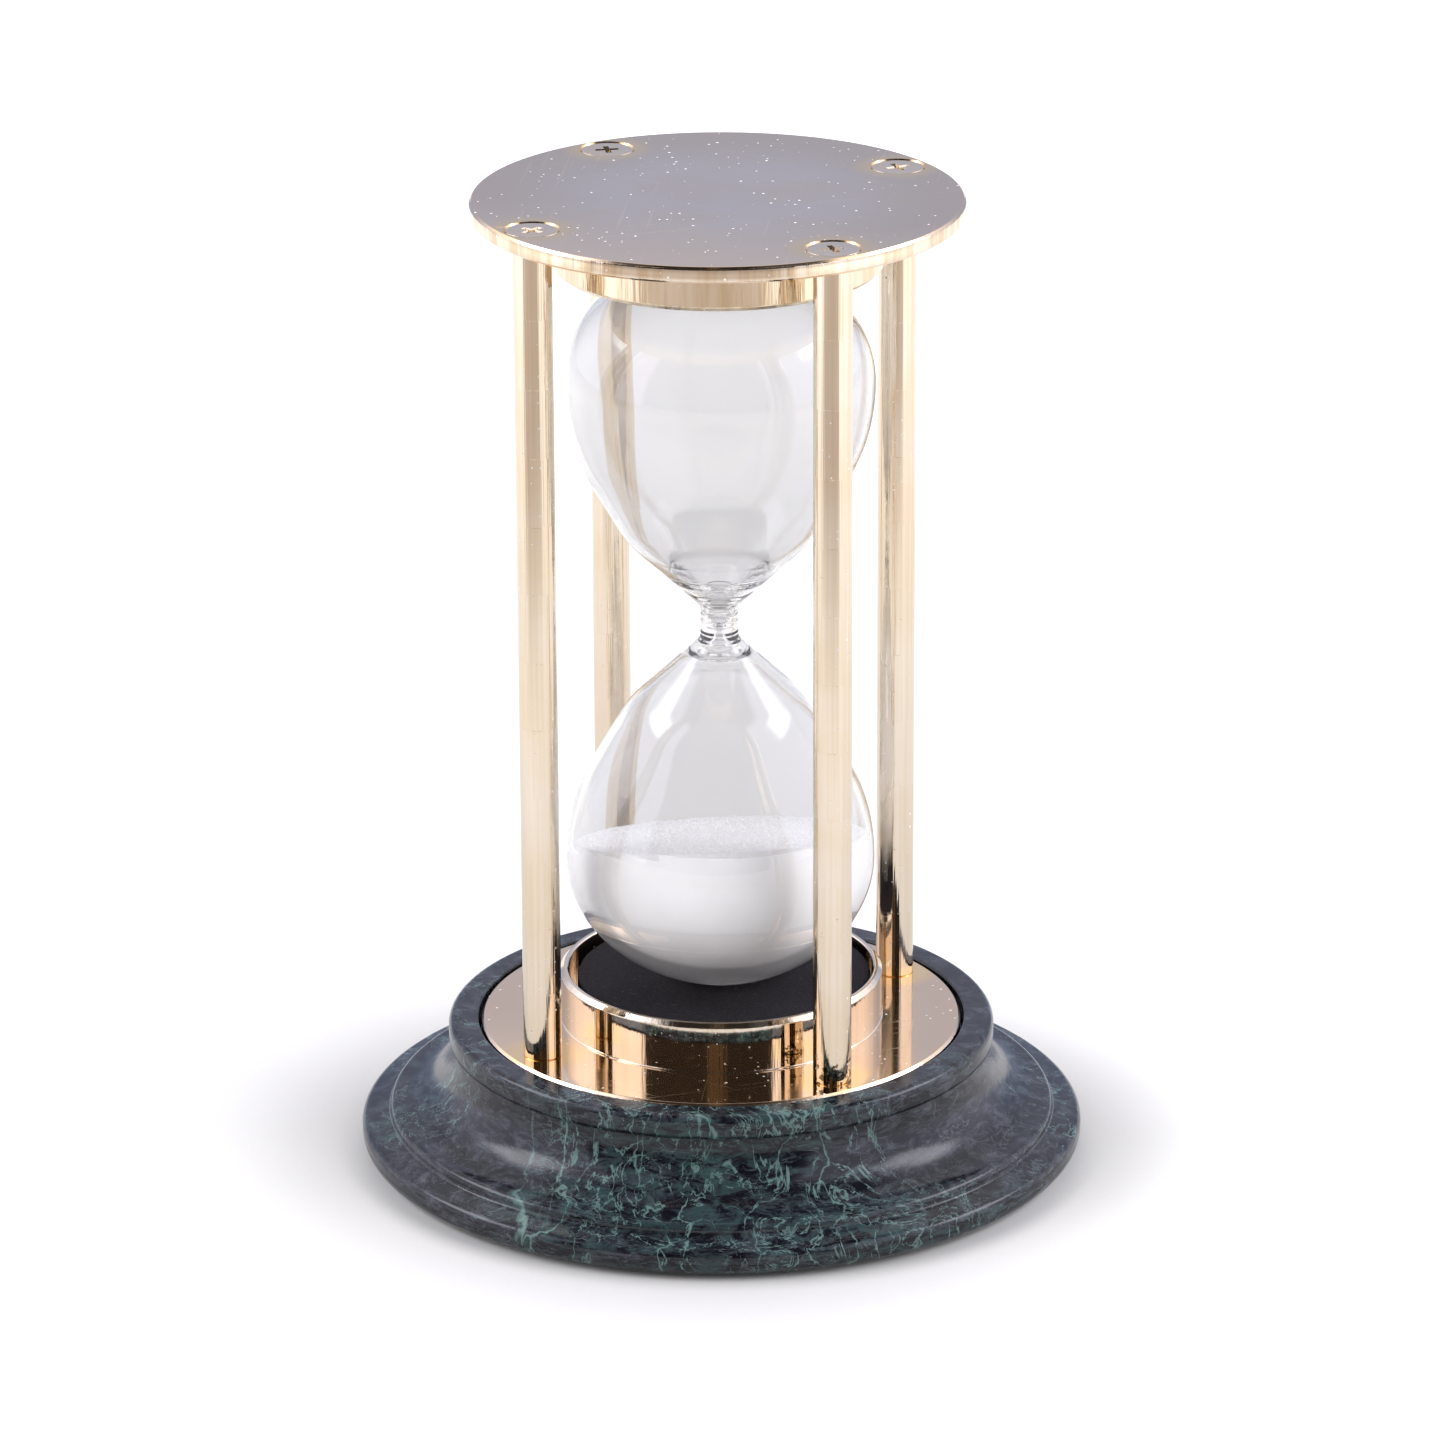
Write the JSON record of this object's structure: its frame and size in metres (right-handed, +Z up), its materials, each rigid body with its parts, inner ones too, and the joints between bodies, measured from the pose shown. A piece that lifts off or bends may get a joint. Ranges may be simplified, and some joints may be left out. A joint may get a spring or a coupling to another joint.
{
  "type": "hourglass",
  "caption": "Desk sand timer: blown glass bulbs with white sand in a brass disc and column frame that lifts out of a turned green marble base.",
  "frame": {"origin": "middle of the base's underside, on the table", "axes": "+Z up along the axis of the hourglass, -Y the front, columns on the diagonals"},
  "size_m": [0.134, 0.134, 0.1819],
  "materials": {
    "green_marble": "polished",
    "black_felt": "matt felt",
    "polished_brass": "mirror polished",
    "yellow_brass": "bright plated",
    "black_foam": "fine cell foam",
    "clear_glass": "clear",
    "white_sand": "fine matt grains"
  },
  "bodies": {
    "base": {"marble_base": "green_marble", "base_felt": "black_felt"},
    "recess_liner": {"recess_felt": "black_felt"},
    "hourglass": {"bottom_plate": "polished_brass", "top_plate": "polished_brass", "lower_collar": "polished_brass", "upper_collar": "polished_brass", "lower_pad": "black_foam", "upper_pad": "black_foam", "glass_bulbs": "clear_glass", "sand": "white_sand", "column_front_left": "polished_brass", "column_front_right": "polished_brass", "column_back_right": "polished_brass", "column_back_left": "polished_brass", "top_screw_front_left": "yellow_brass", "top_screw_front_right": "yellow_brass", "top_screw_back_right": "yellow_brass", "top_screw_back_left": "yellow_brass", "bottom_screw_front_left": "yellow_brass", "bottom_screw_front_right": "yellow_brass", "bottom_screw_back_right": "yellow_brass", "bottom_screw_back_left": "yellow_brass"}
  },
  "joints": [
    {"name": "frame_swivel", "type": "hinge", "parent": "base", "child": "recess_liner", "pos_m": [0, 0, 0.025], "axis": [0, 0, 1], "continuous": true},
    {"name": "frame_lift", "type": "slide", "parent": "recess_liner", "child": "hourglass", "axis": [0, 0, 1], "range_m": [0, 0.08]}
  ]
}
